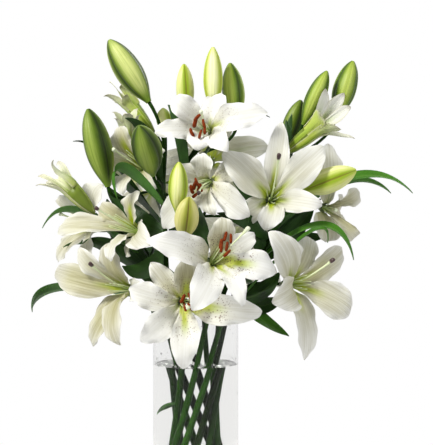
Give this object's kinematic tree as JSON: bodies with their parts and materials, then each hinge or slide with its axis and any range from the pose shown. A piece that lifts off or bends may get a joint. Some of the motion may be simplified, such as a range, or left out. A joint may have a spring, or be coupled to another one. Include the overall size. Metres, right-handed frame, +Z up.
{
  "type": "flowers_in_vase",
  "caption": "White lilies with green buds and narrow leaves, standing in a tall clear glass cylinder vase that is half filled with water",
  "frame": {"origin": "The middle of the vase's foot, on the plane that it rests on", "axes": "+Z is up and -Y is the side seen in the reference view; +X is to the right there"},
  "size_m": [0.5438, 0.3613, 0.6859],
  "materials": {
    "vase_glass": "clear and smooth",
    "vase_water": "clear water",
    "stem_and_leaf": "dark green, slightly waxy",
    "bud_skin": "green with pale ridges, waxy",
    "opening_bud": "pale green turning white, waxy",
    "petal": "white, softly translucent",
    "anther_rust": "powdery rust pollen",
    "pistil_pale": "pale green, smooth"
  },
  "bodies": {
    "root": {"bloom_back_left": "petal", "bloom_back_right": "petal", "bloom_back_top": "petal", "bloom_far_left": "petal", "bloom_far_right": "petal", "bloom_front": "petal", "bloom_left": "petal", "bloom_left_middle": "petal", "bloom_low_front": "petal", "bloom_low_right": "petal", "bloom_middle": "petal", "bloom_top": "petal", "bloom_upper_left": "petal", "bloom_upper_right": "petal", "bud_1": "bud_skin", "bud_10": "bud_skin", "bud_11": "bud_skin", "bud_12": "bud_skin", "bud_13": "bud_skin", "bud_14": "bud_skin", "bud_15": "bud_skin", "bud_2": "bud_skin", "bud_3": "bud_skin", "bud_4": "bud_skin", "bud_5": "bud_skin", "bud_6": "bud_skin", "bud_7": "bud_skin", "bud_8": "bud_skin", "bud_9": "bud_skin", "opening_left": "opening_bud", "opening_pale": "opening_bud", "opening_right": "opening_bud", "opening_top_left": "opening_bud", "stamens_back_left": "pistil_pale", "stamens_back_right": "pistil_pale", "stamens_back_top": "pistil_pale", "stamens_far_left": "pistil_pale", "stamens_far_right": "pistil_pale", "stamens_front": "anther_rust", "stamens_left": "pistil_pale", "stamens_left_middle": "pistil_pale", "stamens_low_front": "anther_rust", "stamens_low_right": "pistil_pale", "stamens_middle": "anther_rust", "stamens_top": "anther_rust", "stamens_upper_left": "pistil_pale", "stamens_upper_right": "pistil_pale", "stem_1": "stem_and_leaf", "stem_10": "stem_and_leaf", "stem_2": "stem_and_leaf", "stem_3": "stem_and_leaf", "stem_4": "stem_and_leaf", "stem_5": "stem_and_leaf", "stem_6": "stem_and_leaf", "stem_7": "stem_and_leaf", "stem_8": "stem_and_leaf", "stem_9": "stem_and_leaf", "vase": "vase_glass", "water": "vase_water"}
  },
  "joints": []
}
